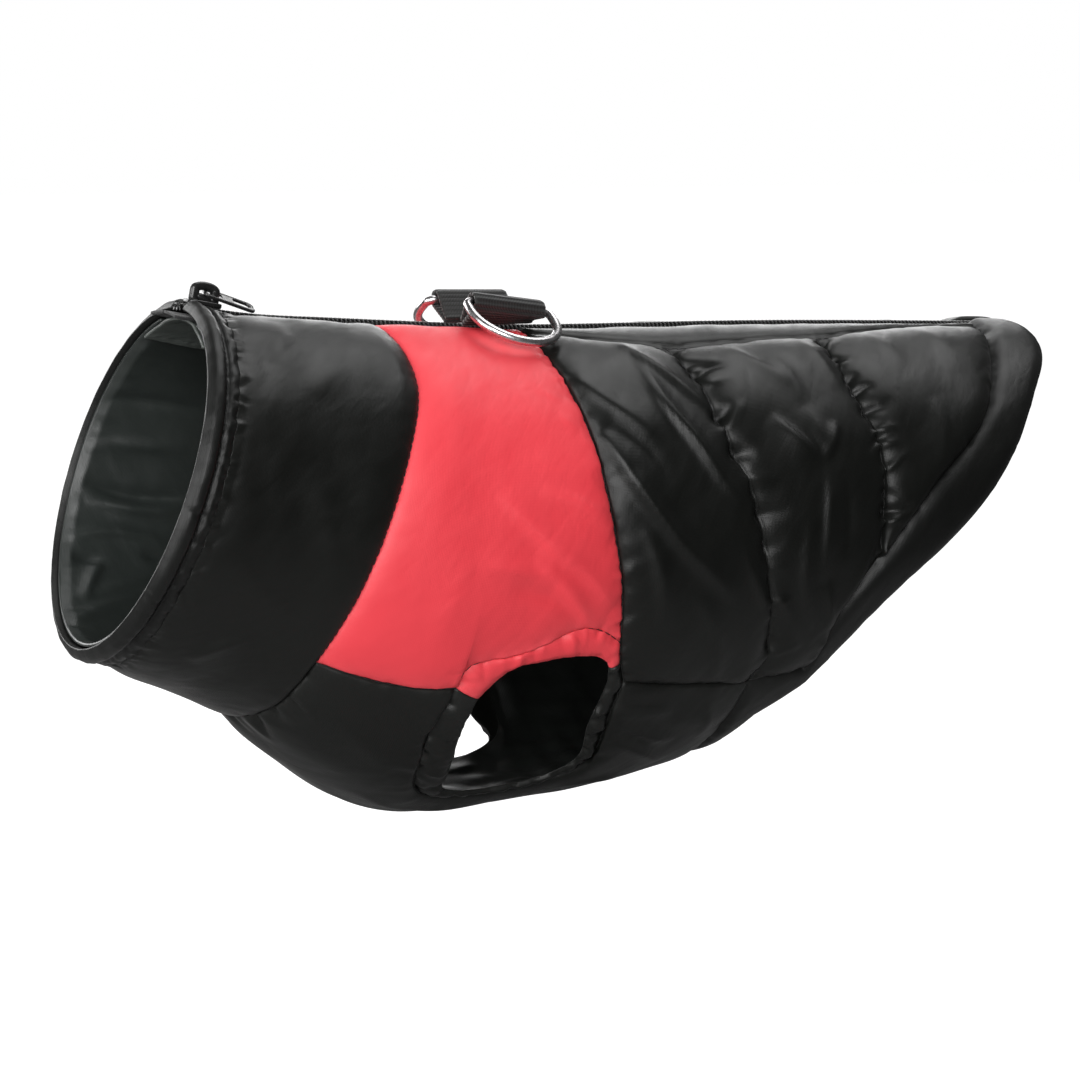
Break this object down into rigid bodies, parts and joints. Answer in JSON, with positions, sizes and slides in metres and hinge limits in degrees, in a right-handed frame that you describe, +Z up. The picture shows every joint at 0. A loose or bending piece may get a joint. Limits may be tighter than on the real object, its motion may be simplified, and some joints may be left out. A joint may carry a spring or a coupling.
{
  "type": "dog coat",
  "caption": "Padded dog vest with a high collar, a back zip, a quilted back, hemmed leg holes, an arched hem and hinged D-rings in webbing loops for a leash.",
  "frame": {"origin": "inside of the back on the centre plane at the withers, midway between the D-ring loops, where the coat rests on the wearer", "axes": "+X towards the tail along the back, +Z up, -Y the wearer's left side"},
  "size_m": [0.3475, 0.1272, 0.1716],
  "materials": {
    "collar": "padded nylon, satin",
    "collar_binding": "nylon binding, satin",
    "collar_lining": "satin lining",
    "zip_facing_left": "satin",
    "zip_facing_right": "satin",
    "yoke_left": "padded nylon, satin",
    "yoke_right": "padded nylon, satin",
    "back_left": "quilted nylon, satin",
    "back_right": "quilted nylon, satin",
    "underside": "padded nylon, satin",
    "armhole_red_left": "turned hem",
    "armhole_red_right": "turned hem",
    "armhole_black_left": "turned hem",
    "armhole_black_right": "turned hem",
    "hem_binding": "nylon binding, satin",
    "zip_tape_left": "woven tape",
    "zip_tape_right": "woven tape",
    "zip_coil": "nylon coil",
    "zip_slider": "black enamel",
    "slider_bail": "black enamel",
    "zip_pull": "black enamel",
    "ring_tab_left": "ribbed webbing",
    "ring_tab_right": "ribbed webbing",
    "d_ring_left": "polished nickel plate",
    "d_ring_right": "polished nickel plate"
  },
  "bodies": {
    "coat": {"collar": "collar", "collar_binding": "collar_binding", "collar_lining": "collar_lining", "zip_facing_left": "zip_facing_left", "zip_facing_right": "zip_facing_right", "yoke_left": "yoke_left", "yoke_right": "yoke_right", "back_left": "back_left", "back_right": "back_right", "underside": "underside", "armhole_red_left": "armhole_red_left", "armhole_red_right": "armhole_red_right", "armhole_black_left": "armhole_black_left", "armhole_black_right": "armhole_black_right", "hem_binding": "hem_binding", "zip_tape_left": "zip_tape_left", "zip_tape_right": "zip_tape_right", "zip_coil": "zip_coil", "zip_slider": "zip_slider", "slider_bail": "slider_bail", "ring_tab_left": "ring_tab_left", "ring_tab_right": "ring_tab_right"},
    "pull": {"zip_pull": "zip_pull"},
    "ring_left": {"d_ring_left": "d_ring_left"},
    "ring_right": {"d_ring_right": "d_ring_right"}
  },
  "joints": [
    {"name": "pull_swing", "type": "hinge", "parent": "coat", "child": "pull", "pos_m": [-0.09723, 0, 0.01544], "axis": [0, -1, 0], "range_deg": [0, 150]},
    {"name": "ring_left_swing", "type": "hinge", "parent": "coat", "child": "ring_left", "pos_m": [0, -0.0132, 0.009], "axis": [-0.9903, 0, 0.1392], "range_deg": [-5, 130]},
    {"name": "ring_right_swing", "type": "hinge", "parent": "coat", "child": "ring_right", "pos_m": [0, 0.0132, 0.0098], "axis": [0.9997, 0, -0.0262], "range_deg": [-5, 130]}
  ]
}
